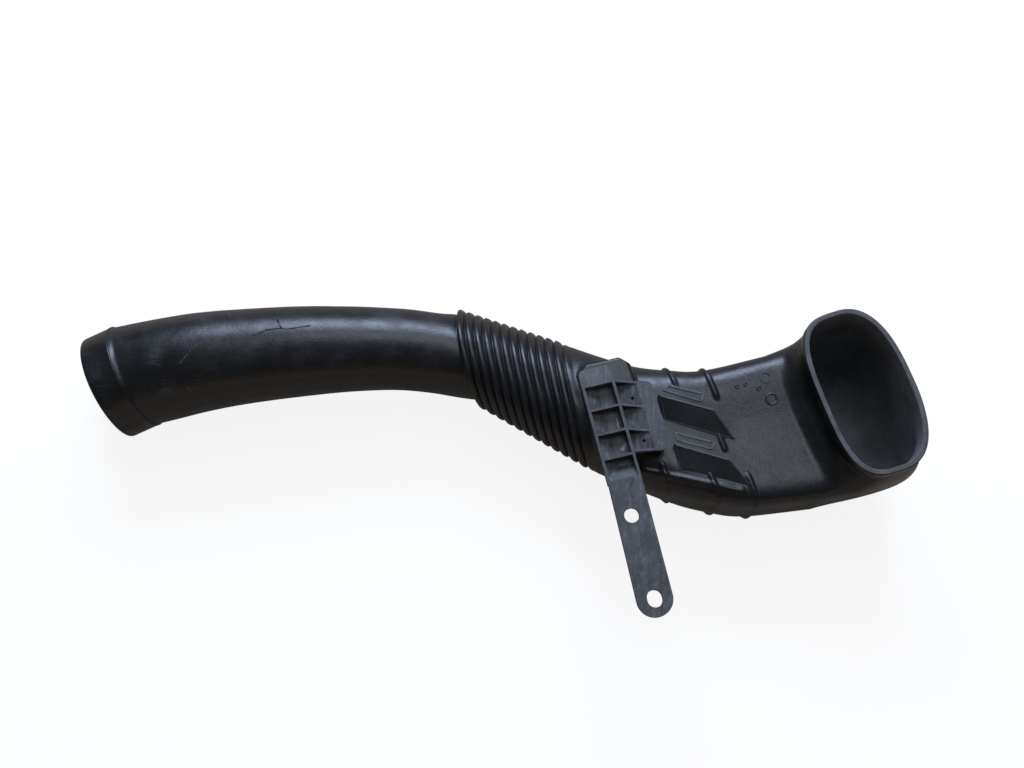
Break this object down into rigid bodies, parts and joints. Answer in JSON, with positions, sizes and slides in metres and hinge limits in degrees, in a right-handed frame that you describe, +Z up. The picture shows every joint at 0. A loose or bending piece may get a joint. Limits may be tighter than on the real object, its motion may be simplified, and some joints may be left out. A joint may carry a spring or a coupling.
{
  "type": "air intake duct",
  "caption": "Blow-moulded engine air intake duct with a round cuff, tapering tube, slanted bellows, ribbed flat body and an up-turned oblong mouth, with a welded mounting bracket on its back.",
  "frame": {"origin": "under the middle of the whole part's box, on the table the part lies on", "axes": "+X runs from the round cuff to the mouth, +Y is across the duct, away from the bracket's strap, +Z is up and the mouth faces it"},
  "size_m": [0.606, 0.2336, 0.105],
  "materials": {
    "duct_plastic": "satin charcoal, lightly scuffed",
    "bracket_plastic": "matte grey, streaked"
  },
  "bodies": {
    "root": {"duct": "duct_plastic", "mounting_bracket": "bracket_plastic"}
  },
  "joints": []
}
